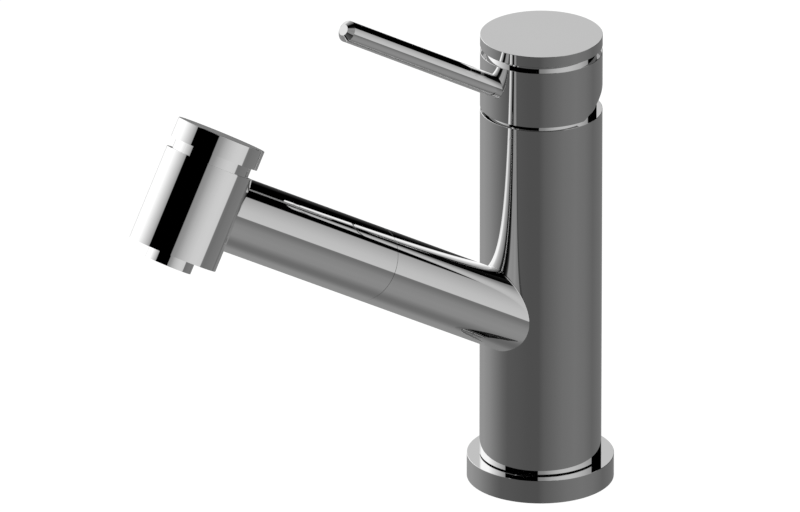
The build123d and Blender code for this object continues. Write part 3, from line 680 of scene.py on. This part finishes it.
class Mould:
    """Turns lists of points and faces into new pieces of the model."""

    @staticmethod
    def piece(name: str, points: Sequence[Vector], faces: Sequence[Sequence[int]]) -> bpy.types.Object:
        """Make a smooth mesh piece.

        Args:
            name: The piece's name.
            points: Its corners in the frame of the model.
            faces: Corner numbers of each face.

        Returns:
            The new object, linked to the scene.
        """
        mesh = bpy.data.meshes.new(name)
        mesh.from_pydata(points, [], faces)
        form = bmesh.new()
        form.from_mesh(mesh)
        bmesh.ops.recalc_face_normals(form, faces=form.faces)
        form.to_mesh(mesh)
        form.free()
        mesh.shade_smooth()
        return placed(mesh)

    @staticmethod
    def polished(node: bpy.types.Object, faces: Sequence[RoundFace]) -> bpy.types.Object:
        """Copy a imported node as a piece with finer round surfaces, which mirror without facets.

        Args:
            node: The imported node.
            faces: The round surfaces that it shows.

        Returns:
            The new object, linked to the scene.
        """
        mesh = node.data.copy()
        mesh.name = f"{node.name}_polished"
        Mould._refine(mesh, faces)
        if "custom_normal" in mesh.attributes:
            mesh.attributes.remove(mesh.attributes["custom_normal"])
        mesh.shade_smooth()
        mesh.set_sharp_from_angle(angle=SHARP)
        normals = Mould._true_normals(mesh, faces)
        mesh.attributes.remove(mesh.attributes["skin"])
        mesh.normals_split_custom_set(normals)
        return placed(mesh)

    @staticmethod
    def _refine(mesh: bpy.types.Mesh, faces: Sequence[RoundFace]) -> None:
        """Divide the round surfaces of a mesh, put them in their true place and number them as skin.

        Args:
            mesh: The mesh, which is changed.
            faces: Its round surfaces.
        """
        form = bmesh.new()
        form.from_mesh(mesh)
        bmesh.ops.remove_doubles(form, verts=form.verts, dist=WELD)
        skin = form.faces.layers.int.new("skin")
        for side in form.faces:
            side[skin] = Mould._skin_of(side, faces)
        edges = {edge for side in form.faces if side[skin] for edge in side.edges}
        bmesh.ops.subdivide_edges(form, edges=list(edges), cuts=CUTS, use_grid_fill=True)
        for corner in form.verts:
            kinds = sorted({side[skin] for side in corner.link_faces} - {0})
            for kind in SNAP_ROUNDS * kinds:
                corner.co = faces[kind - 1].nearest(corner.co)
        form.to_mesh(mesh)
        form.free()

    @staticmethod
    def _true_normals(mesh: bpy.types.Mesh, faces: Sequence[RoundFace]) -> list[Vector]:
        """Find which way each corner of a refined mesh faces.

        Args:
            mesh: The mesh, with its skin numbers.
            faces: Its round surfaces.

        Returns:
            The normals, corner by corner.
        """
        normals = [Vector(corner.vector) for corner in mesh.corner_normals]
        for polygon, entry in zip(mesh.polygons, mesh.attributes["skin"].data):
            flat, kind = polygon.normal, entry.value
            level = next((way for way in FLAT_WAYS if abs(flat.dot(way)) > LEVEL), None)
            for loop, k in zip(polygon.loop_indices, polygon.vertices):
                way = faces[kind - 1].facing(mesh.vertices[k].co) if kind else level
                if way:
                    normals[loop] = math.copysign(1.0, way.dot(flat)) * way
        return normals

    @staticmethod
    def _skin_of(side: bmesh.types.BMFace, faces: Sequence[RoundFace]) -> int:
        """Find the round surface that a face of a mesh lies on.

        Args:
            side: The face.
            faces: The round surfaces to try.

        Returns:
            The surface's number from 1, or 0 where there is none.
        """
        for kind, face in enumerate(faces, 1):
            found = [face.facing(corner.co) for corner in side.verts]
            if None in found or abs(found[0].dot(side.normal)) < SAME_SIDE:
                continue
            if any(way.dot(found[0]) < SAME_WAY for way in found):
                return kind
        return 0

    @staticmethod
    def closed_rings(rings: Sequence[Sequence[Vector]]) -> tuple[list, list]:
        """Return the corners and faces of a skin through equal rings, the last joined to the first."""
        points = [point for ring in rings for point in ring]
        return points, Mould._quads(len(rings), len(rings[0]), True)

    @staticmethod
    def tube(
        path: Sequence[Vector], side: Sequence[Vector], r: float, round_steps: int
    ) -> tuple[list, list]:
        """Sweep a circle along a path.

        Args:
            path: Points along the middle of the tube.
            side: For each point, a unit vector across the path.
            r: Radius of the tube.
            round_steps: Corners of the circle.

        Returns:
            Corners and faces, with both ends closed.
        """
        points: list[Vector] = []
        last = len(path) - 1
        for k, (at, across) in enumerate(zip(path, side)):
            ahead = (path[min(k + 1, last)] - path[max(k - 1, 0)]).normalized()
            other = ahead.cross(across).normalized()
            for j in range(round_steps):
                a = math.tau * j / round_steps
                points.append(at + r * (math.cos(a) * across + math.sin(a) * other))
        faces = Mould._quads(len(path), round_steps, False)
        faces.append(list(range(round_steps)))
        faces.append([last * round_steps + j for j in range(round_steps)])
        return points, faces

    @staticmethod
    def _quads(rows: int, steps: int, closed: bool) -> list[list[int]]:
        """Return the faces between rings of corners.

        Args:
            rows: Number of rings.
            steps: Corners in a ring.
            closed: Whether the last ring joins the first.

        Returns:
            Four corner numbers for each face.
        """
        pairs = [(k, (k + 1) % rows) for k in range(rows if closed else rows - 1)]
        turns = [(j, (j + 1) % steps) for j in range(steps)]
        return [
            [k * steps + j, k * steps + i, m * steps + i, m * steps + j]
            for k, m in pairs
            for j, i in turns
        ]


Nodes = Mapping[str, bpy.types.Object]
Finishes = dict[str, Surface]
Mirrors = dict[str, tuple[RoundFace, ...]]


def own(entries: dict) -> Any:
    """Return a dataclass field that starts as a copy of some entries."""
    return field(default_factory=lambda: dict(entries))


@dataclass
class Assembly:
    """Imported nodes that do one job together, with their finishes, mirror faces and hidden pieces."""

    paint: Paint
    body: str = ""
    finishes: Finishes = own({})
    mirrors: Mirrors = own({})
    under_worktop: tuple[str, ...] = ()

    def dress(self, nodes: Nodes) -> None:
        """Give every node of the assembly its finish, and keep those under the worktop out of mirrors.

        Args:
            nodes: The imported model's nodes by name.
        """
        for name, surface in self.finishes.items():
            self.paint.coat(nodes[name], surface)
            nodes[name].visible_glossy = name not in self.under_worktop
            LOG.info("%s: %s", name, surface.value.slot)

    def build(self, nodes: Nodes) -> list[bpy.types.Object]:
        """Make the assembly's polished pieces.

        Args:
            nodes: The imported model's nodes by name.

        Returns:
            The new pieces.
        """
        made = []
        for name, faces in self.mirrors.items():
            piece = self.adopt(Mould.polished(nodes[name], faces), self.finishes[name])
            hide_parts(name)
            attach(piece, self.body)
            made.append(piece)
        return made

    def adopt(self, piece: bpy.types.Object, surface: Surface) -> bpy.types.Object:
        """Finish a new piece.

        Args:
            piece: The piece.
            surface: Its finish.

        Returns:
            The same piece.
        """
        self.paint.coat(piece, surface)
        LOG.info("%s: made, %d corners", piece.name, len(piece.data.vertices))
        return piece


@dataclass
class DeckMount(Assembly):
    """Base ring, swivel hub and threaded shank, which stay fixed to the worktop."""

    body: str = "base"
    shank_r: float = 0.0165
    bore_r: float = 0.0140
    neck_r: float = 0.0159
    neck_top: float = 0.0200
    low: float = -0.0560
    relief: tuple[float, float] = (-0.0310, -0.0290)
    relief_r: float = 0.0154
    pitch: float = 0.0015
    thread_depth: float = 0.0009
    thread_sharp: float = math.radians(50)
    crest: float = 0.1
    round_steps: int = 96
    turn_steps: int = 10
    finishes: Finishes = own({
        "base_ring": Surface.CHROME,
        "deck_seal": Surface.BLACK_RUBBER,
        "swivel_hub": Surface.BRASS,
        "lower_slide_ring": Surface.BLACK_PLASTIC,
        "upper_slide_ring": Surface.BEARING,
        "retaining_clip": Surface.STEEL,
        "mounting_shank": Surface.BRASS,
    })
    mirrors: Mirrors = own({"base_ring": (Barrel(COLUMN, 0.0302),)})

    def build(self, nodes: Nodes) -> list[bpy.types.Object]:
        """Make the polished base ring and the shank with its thread.

        Args:
            nodes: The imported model's nodes by name.

        Returns:
            The new pieces.
        """
        rows = [(self.bore_r, self.neck_top), (self.neck_r, self.neck_top), (self.neck_r, 0.0)]
        outline = [(r, height, 0.0) for r, height in rows]
        step = self.pitch / self.turn_steps
        relief_low, relief_high = self.relief
        for k in range(round(-self.low / step) + 1):
            height = -k * step
            edge = min(-height, height - self.low, abs(height - relief_low), abs(height - relief_high))
            if relief_low < height < relief_high:
                outline.append((self.relief_r, height, 0.0))
            else:
                outline.append((self.shank_r, height, min(1.0, edge / self.pitch)))
        outline.append((self.bore_r, self.low, 0.0))
        rings = [self._thread_ring(r, height, cut) for r, height, cut in outline]
        shank = Mould.piece("threaded_shank", *Mould.closed_rings(rings))
        shank.data.set_sharp_from_angle(angle=self.thread_sharp)
        shank.visible_glossy = False
        self.adopt(shank, Surface.BRASS)
        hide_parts("mounting_shank")
        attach(shank, self.body)
        return [*super().build(nodes), shank]

    def _thread_ring(self, r: float, height: float, cut: float) -> list[Vector]:
        """Return one level ring of the shank.

        Args:
            r: Radius over the thread.
            height: Height of the ring.
            cut: How deep the thread is there, from 0 to 1.

        Returns:
            The ring's points.
        """
        ring = []
        for j in range(self.round_steps):
            turn = j / self.round_steps
            flank = abs((height / self.pitch + turn) % 1.0 - 0.5) * 2
            share = (flank - self.crest) / (1 - 2 * self.crest)
            groove = cut * self.thread_depth * min(1.0, max(0.0, share))
            angle = math.tau * turn
            ring.append(Vector(((r - groove) * math.cos(angle), (r - groove) * math.sin(angle), height)))
        return ring


@dataclass
class DeckClamp(Assembly):
    """Gasket, washer and nut under the worktop."""

    body: str = "clamp"
    under_worktop: tuple[str, ...] = ("clamp_gasket", "clamp_washer", "clamp_nut")
    finishes: Finishes = own({
        "clamp_gasket": Surface.BLACK_RUBBER,
        "clamp_washer": Surface.STEEL,
        "clamp_nut": Surface.BRASS,
    })


@dataclass
class TurningColumn(Assembly):
    """Column, spout socket, valve seat and the hose that runs through them."""

    body: str = "column"
    hose_r: float = 0.0060
    hose_end: float = 0.0980
    hose_y: float = HOSE_Y
    hose_low: float = -0.0620
    bend_lead: float = 0.0460
    round_steps: int = 32
    path_steps: int = 24
    stretch: tuple[float, float] = (0.0340, 0.0960)
    under_worktop: tuple[str, ...] = ("hose_coupling",)
    finishes: Finishes = own({
        "column_casing": Surface.CHROME,
        "spout_socket": Surface.CHROME,
        "bonnet_ring": Surface.CHROME,
        "swivel_stop_screw": Surface.STEEL,
        "valve_seat": Surface.BRASS,
        "valve_seat_seals": Surface.BLACK_RUBBER,
        "hose_guide": Surface.BEARING,
        "pullout_hose": Surface.BRAID,
        "hose_coupling": Surface.BRASS,
    })
    mirrors: Mirrors = own({
        "column_casing": (COLUMN_SIDE,),
        "spout_socket": (SPOUT_SIDE, Fillet(SPOUT_SIDE, COLUMN_SIDE, 0.0004)),
        "bonnet_ring": (Barrel(COLUMN, 0.02265),),
    })

    def build(self, nodes: Nodes) -> list[bpy.types.Object]:
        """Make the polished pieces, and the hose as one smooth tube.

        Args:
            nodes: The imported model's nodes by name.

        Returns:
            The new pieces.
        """
        corner_s = -self.hose_y / math.cos(LEAN)
        corner = SPOUT.at(corner_s)
        controls = [
            SPOUT.at(self.hose_end),
            SPOUT.at(corner_s + self.bend_lead),
            corner,
            corner - Vector((0, 0, self.bend_lead)),
            Vector((0, self.hose_y, self.hose_low)),
        ]
        path = self._smooth_path(controls)
        skin = Mould.tube(path, [Vector((1, 0, 0))] * len(path), self.hose_r, self.round_steps)
        hose = self.adopt(Mould.piece("braided_hose", *skin), Surface.BRAID)
        hose.visible_glossy = False
        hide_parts("pullout_hose")
        start, end = self.stretch
        SPOUT.at(start)
        SPOUT.at(end)
        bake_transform(hose)
        return [*super().build(nodes), hose]

    def _smooth_path(self, controls: Sequence[Vector]) -> list[Vector]:
        """Read the points of the smooth spline that the control points make.

        Args:
            controls: Control points of the spline.

        Returns:
            Points along it.
        """
        curve = bpy.data.curves.new("hose_route", "CURVE")
        curve.dimensions = "3D"
        curve.resolution_u = self.path_steps
        spline = curve.splines.new("NURBS")
        spline.points.add(len(controls) - 1)
        for point, at in zip(spline.points, controls):
            point.co = (*at, 1.0)
        spline.order_u = 3
        spline.use_endpoint_u = True
        carrier = bpy.data.objects.new("hose_route", curve)
        mesh = bpy.data.meshes.new_from_object(carrier)
        path = [v.co.copy() for v in mesh.vertices]
        bpy.data.objects.remove(carrier)
        bpy.data.meshes.remove(mesh)
        bpy.data.curves.remove(curve)
        return path


@dataclass
class MixerCartridge(Assembly):
    """Ceramic-disc cartridge in the top of the column, with its turning and sliding parts."""

    finishes: Finishes = own({
        "cartridge_base": Surface.CARTRIDGE,
        "port_seals": Surface.BLACK_RUBBER,
        "lower_ceramic_disc": Surface.CERAMIC,
        "upper_ceramic_disc": Surface.CERAMIC,
        "disc_carrier": Surface.CARTRIDGE,
        "cartridge_housing": Surface.CARTRIDGE,
        "cartridge_nut": Surface.BRASS,
        "cartridge_carrier": Surface.CARTRIDGE,
        "stem_pin": Surface.STEEL,
        "cartridge_stem": Surface.STEEL,
    })


@dataclass
class LeverHandle(Assembly):
    """Handle cap, its top disc, the lever rod and the set screw."""

    body: str = "handle"
    finishes: Finishes = own({
        "handle_cap": Surface.CHROME,
        "handle_disc": Surface.CHROME,
        "lever_rod": Surface.CHROME,
        "handle_set_screw": Surface.STEEL,
    })
    mirrors: Mirrors = own({
        "handle_cap": (COLUMN_SIDE, Barrel(COLUMN, 0.0226), Barrel(COLUMN, 0.02345)),
        "handle_disc": (COLUMN_SIDE,),
        "lever_rod": (Barrel(LEVER, 0.00445), Bevel(LEVER, 0.122, 0.0023, 0.00445)),
    })


@dataclass
class PullOutWand(Assembly):
    """Wand with the spray head, its water line and its outlets."""

    body: str = "wand"
    finishes: Finishes = own({
        "wand_shell": Surface.CHROME,
        "dock_spigot": Surface.BEARING,
        "hose_connector": Surface.BRASS,
        "hose_washer": Surface.BLACK_RUBBER,
        "check_valve": Surface.BLACK_PLASTIC,
        "waterway": Surface.BEARING,
        "diverter_core": Surface.BLACK_PLASTIC,
        "core_seal": Surface.BLACK_RUBBER,
        "spray_plate": Surface.BLACK_PLASTIC,
        "spray_nubs": Surface.GREY_RUBBER,
        "aerator_housing": Surface.CHROME,
        "aerator_insert": Surface.WHITE_PLASTIC,
    })
    mirrors: Mirrors = own({
        "wand_shell": (SPOUT_SIDE, HEAD_SIDE),
        "aerator_housing": (Barrel(HEAD, 0.0098),),
    })


@dataclass
class SprayButton(Assembly):
    """Button on the spray head, with its spool and return spring."""

    body: str = "button"
    wire_r: float = 0.0006
    coil_r: float = 0.0056
    coil_low: float = 0.0075
    coil_high: float = 0.0256
    turns: float = 7.5
    dead_turns: float = 1.0
    turn_steps: int = 24
    wire_steps: int = 12
    finishes: Finishes = own({
        "button_cap": Surface.CHROME,
        "diverter_spool": Surface.BLACK_PLASTIC,
        "spool_seals": Surface.BLACK_RUBBER,
        "spool_clip": Surface.STEEL,
        "button_spring": Surface.STEEL,
    })
    mirrors: Mirrors = own({
        "button_cap": (HEAD_SIDE, RolledRim(HEAD, 0.0283, 0.0184, 0.0003)),
    })

    def build(self, nodes: Nodes) -> list[bpy.types.Object]:
        """Make the polished button and the coil spring under it.

        Args:
            nodes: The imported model's nodes by name.

        Returns:
            The new pieces.
        """
        low, high = self.coil_low + self.wire_r, self.coil_high - self.wire_r
        dead_rise = 2 * self.wire_r * self.dead_turns
        live_turns = self.turns - 2 * self.dead_turns
        pitch = (high - low - 2 * dead_rise) / live_turns
        across = Vector((1, 0, 0))
        other = Vector(HEAD.way).cross(across)
        path, side = [], []
        for k in range(round(self.turns * self.turn_steps) + 1):
            turn = k / self.turn_steps
            live = min(max(turn - self.dead_turns, 0.0), live_turns)
            height = low + (turn - live) * 2 * self.wire_r + live * pitch
            out = math.cos(math.tau * turn) * across + math.sin(math.tau * turn) * other
            path.append(HEAD.at(height) + self.coil_r * out)
            side.append(out)
        spring = Mould.piece("return_spring", *Mould.tube(path, side, self.wire_r, self.wire_steps))
        self.adopt(spring, Surface.STEEL)
        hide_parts("button_spring")
        HEAD.at(low + dead_rise)
        HEAD.at(high - dead_rise)
        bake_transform(spring)
        return [*super().build(nodes), spring]


@dataclass
class Studio:
    """Floor, light tent, lamp, background and camera around the faucet.

    The stops of the tent are greys or shares by degrees. Round the tent, 0 is where the photograph was
    taken from and the right is positive. Upward, 0 is level.
    """

    view_turn: float = 49.584
    view_rise: float = 23.052
    view_distance: float = 9.4854
    lens: float = 1040.0
    sensor: float = 36.0
    clip: tuple[float, float] = (0.1, 100.0)
    aim_right: float = -0.057569
    aim_up: float = 0.089470
    matt_light: float = 0.72
    lamp_place: Triple = (0.2, -1.1, 1.35)
    lamp_aim: Triple = (0.0, -0.08, 0.1)
    lamp_size: float = 1.4
    lamp_power: float = 9.0
    floor_r: float = 1.2
    floor_steps: int = 96
    floor_colour: Colour = (0.86, 0.86, 0.86)
    floor_glow: float = 1.09
    glow_share: float = 0.88
    tent_turn: float = 50.0
    tent_r: float = 20.0
    tent_middle: Triple = (0.0, -0.09, 0.11)
    tent_steps: tuple[int, int] = (64, 32)
    tent_strength: float = 1.1875
    horizon: Stops = ((-19.9, 0), (-19.1, 1))
    ground: Stops = (
        (-180, 128), (-168, 144), (-138, 147), (-114, 136), (-78, 99), (-66, 87), (-24, 79), (-4, 79),
        (6, 91), (42, 110), (68, 115), (90, 111), (114, 99), (150, 110), (180, 128),
    )
    boxes: Stops = (
        (-180, 196), (-166, 225), (-150, 272), (-118, 274), (-90, 211), (-71, 157), (-70.4, 0), (-5, 0),
        (-4.4, 136), (6, 150), (18, 179), (30, 196), (42, 206), (54, 209), (66, 207), (90, 192),
        (112.6, 162), (113.4, 0), (170, 0), (171, 188), (180, 196),
    )
    lit: Stops = ((-70.7, 1), (-70.4, 0), (-5, 0), (-4.4, 1), (112.6, 1), (113.4, 0), (170, 0), (171, 1))
    right_side: Stops = ((-18, 0), (-15, 1), (145, 1), (148, 0))
    far_side: Stops = ((-179, 1), (-175, 0), (90, 0), (92, 1))
    far_box: Stops = ((-179, 1), (-175, 0), (160, 0), (166, 1))
    far_gap: Stops = ((113, 0), (116, 1), (167, 1), (170, 0))
    left_fade: Stops = (
        (24, 1), (30, 0.72), (36, 0.56), (45, 0.44), (55, 0.33), (64, 0.26), (69, 0.2), (73, 0.02), (90, 0)
    )
    right_fade: Stops = ((25, 1), (38, 0.78), (61, 0.74), (67, 0.1), (74, 0.01), (90, 0))
    far_box_rise: Stops = ((4, 0), (14, 1))
    far_gap_rise: Stops = ((32, 0), (42, 1), (68, 1), (78, 0))
    front_dusk: Stops = ((-21, 1), (-12, 0.83), (-3.5, 0.66), (8, 0.27), (14, 0.02), (16, 0))
    back_dusk: Stops = ((-21, 1), (-12, 0.45), (-5, 0.15), (-1, 0.097), (4, 0.009), (6, 0))
    pool: Stops = ((-75, 0), (-62, 0.9), (-50, 1), (-36, 0.75), (-24, 0))
    nadir: Stops = ((-76, 1), (-58, 0))
    pool_grey: float = 140
    nadir_grey: float = 108
    far_gap_grey: float = 150

    def camera(self) -> None:
        """Place the camera at the photograph's viewing angle."""
        turn, rise = math.radians(self.view_turn), math.radians(self.view_rise)
        right = Vector((math.cos(turn), math.sin(turn), 0))
        back = Vector((math.sin(turn) * math.cos(rise), -math.cos(turn) * math.cos(rise), math.sin(rise)))
        aim = self.aim_right * right + self.aim_up * back.cross(right)
        lens = bpy.data.cameras.new("viewpoint")
        lens.sensor_width = self.sensor
        lens.lens = self.lens
        lens.clip_start, lens.clip_end = self.clip
        camera = placed(lens)
        camera.location = aim + self.view_distance * back
        camera.rotation_euler = (-back).to_track_quat("-Z", "Y").to_euler()
        bpy.context.scene.camera = camera

    def background(self) -> None:
        """Make the background white, with a softer white as the light on matt pieces."""
        world = bpy.data.worlds.new("white_room")
        world.use_nodes = True
        bpy.context.scene.world = world
        graph = Graph(world.node_tree)
        rays = graph.node("ShaderNodeLightPath")
        seen = rays["Is Camera Ray"].most(rays["Is Glossy Ray"]).most(rays["Is Transmission Ray"])
        values = {"Color": WHITE, "Strength": self.matt_light + (1 - self.matt_light) * seen}
        sky = graph.node("ShaderNodeBackground", None, values)
        graph.node("ShaderNodeOutputWorld", None, {"Surface": sky[0]})

    def lamp(self) -> None:
        """Hang a soft lamp over the left shoulder of the camera."""
        light = bpy.data.lights.new("soft_lamp", "AREA")
        light.shape = "DISK"
        light.size = self.lamp_size
        light.energy = self.lamp_power
        lamp = placed(light)
        lamp.location = self.lamp_place
        aim = Vector(self.lamp_aim) - Vector(self.lamp_place)
        lamp.rotation_euler = aim.to_track_quat("-Z", "Y").to_euler()
        lamp.visible_glossy = False

    def floor(self) -> None:
        """Lay the worktop: pale, nearly white to the camera, and clear when seen from below."""
        form = bmesh.new()
        bmesh.ops.create_circle(form, cap_ends=True, segments=self.floor_steps, radius=self.floor_r)
        floor = placed(mesh_of(form, "worktop"))
        floor.visible_glossy = False
        material, graph = blank_material("pale_worktop")
        rays = graph.node("ShaderNodeLightPath")
        matt = graph.node("ShaderNodeBsdfDiffuse", None, {"Color": (*self.floor_colour, 1)})[0]
        glow = graph.emission(WHITE, self.floor_glow)
        top = graph.between(self.glow_share * rays["Is Camera Ray"], matt, glow)
        clear = graph.node("ShaderNodeBsdfTransparent")[0]
        under = graph.node("ShaderNodeNewGeometry")["Backfacing"]
        graph.surface(graph.between(under, top, clear))
        floor.data.materials.append(material)

    def tent(self) -> None:
        """Put up the light tent that only the chrome sees: soft boxes, dark gaps and a grey ground."""
        form = bmesh.new()
        around, upward = self.tent_steps
        bmesh.ops.create_uvsphere(form, u_segments=around, v_segments=upward, radius=self.tent_r)
        tent = placed(mesh_of(form, "light_tent"))
        turned = Matrix.Rotation(math.radians(self.tent_turn), 4, "Z")
        tent.matrix_world = Matrix.Translation(self.tent_middle) @ turned
        tent.visible_camera = tent.visible_diffuse = False
        tent.visible_shadow = tent.visible_transmission = tent.visible_volume_scatter = False
        material, graph = blank_material("tent_cloth")
        graph.surface(graph.emission(self._tent_light(graph), self.tent_strength))
        tent.data.materials.append(material)

    def _tent_light(self, graph: Graph) -> Flow:
        """Write the light of the tent by direction.

        Args:
            graph: The tent's node tree.

        Returns:
            The light, as a linear grey.
        """
        x, y, z = graph.axes(graph.place())
        turn = x.angle_to(-y) / math.tau + 0.5
        rise = (z / self.tent_r).arcsine() / math.pi + 0.5

        def around(stops: Stops) -> Flow:
            """Return a value by degrees round the tent."""
            return graph.ramp(turn, [((angle + 180) / 360, value) for angle, value in stops])

        def upward(stops: Stops) -> Flow:
            """Return a value by degrees above level."""
            return graph.ramp(rise, [((angle + 90) / 180, value) for angle, value in stops])

        ground = around([(a, light_of(grey)) for a, grey in self.ground])
        boxes = around([(a, light_of(grey)) for a, grey in self.boxes])
        right, behind, back = around(self.right_side), around(self.far_side), around(self.far_box)
        above = back * upward(self.far_box_rise) + (1 - back) * upward(self.horizon)
        fade = right * upward(self.right_fade) + (1 - right) * upward(self.left_fade)
        pool, nadir = upward(self.pool), upward(self.nadir)
        dusk = behind * upward(self.back_dusk) + (1 - behind) * upward(self.front_dusk)
        near = ground * (1 - pool) * (1 - nadir) + light_of(self.pool_grey) * pool
        near = near + light_of(self.nadir_grey) * nadir * (1 - pool)
        glow = light_of(self.far_gap_grey) * around(self.far_gap) * upward(self.far_gap_rise)
        return boxes * fade * above + near * dusk * (1 - around(self.lit) * above) + glow


def main() -> None:
    """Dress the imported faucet, add its soft and wound pieces, and set up the studio."""
    logging.basicConfig(level=logging.INFO, format="%(name)s %(message)s")
    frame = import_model()
    bpy.context.scene.view_settings.view_transform = "Standard"
    paint = Paint()
    kinds = (DeckMount, DeckClamp, TurningColumn, MixerCartridge, LeverHandle, PullOutWand, SprayButton)
    for kind in kinds:
        assembly = kind(paint)
        assembly.dress(frame["nodes"])
        pieces = assembly.build(frame["nodes"])
        LOG.info("%s: %d new pieces", kind.__name__, len(pieces))
    studio = Studio()
    studio.camera()
    studio.background()
    studio.lamp()
    studio.floor()
    studio.tent()


if __name__ == "__main__":
    main()
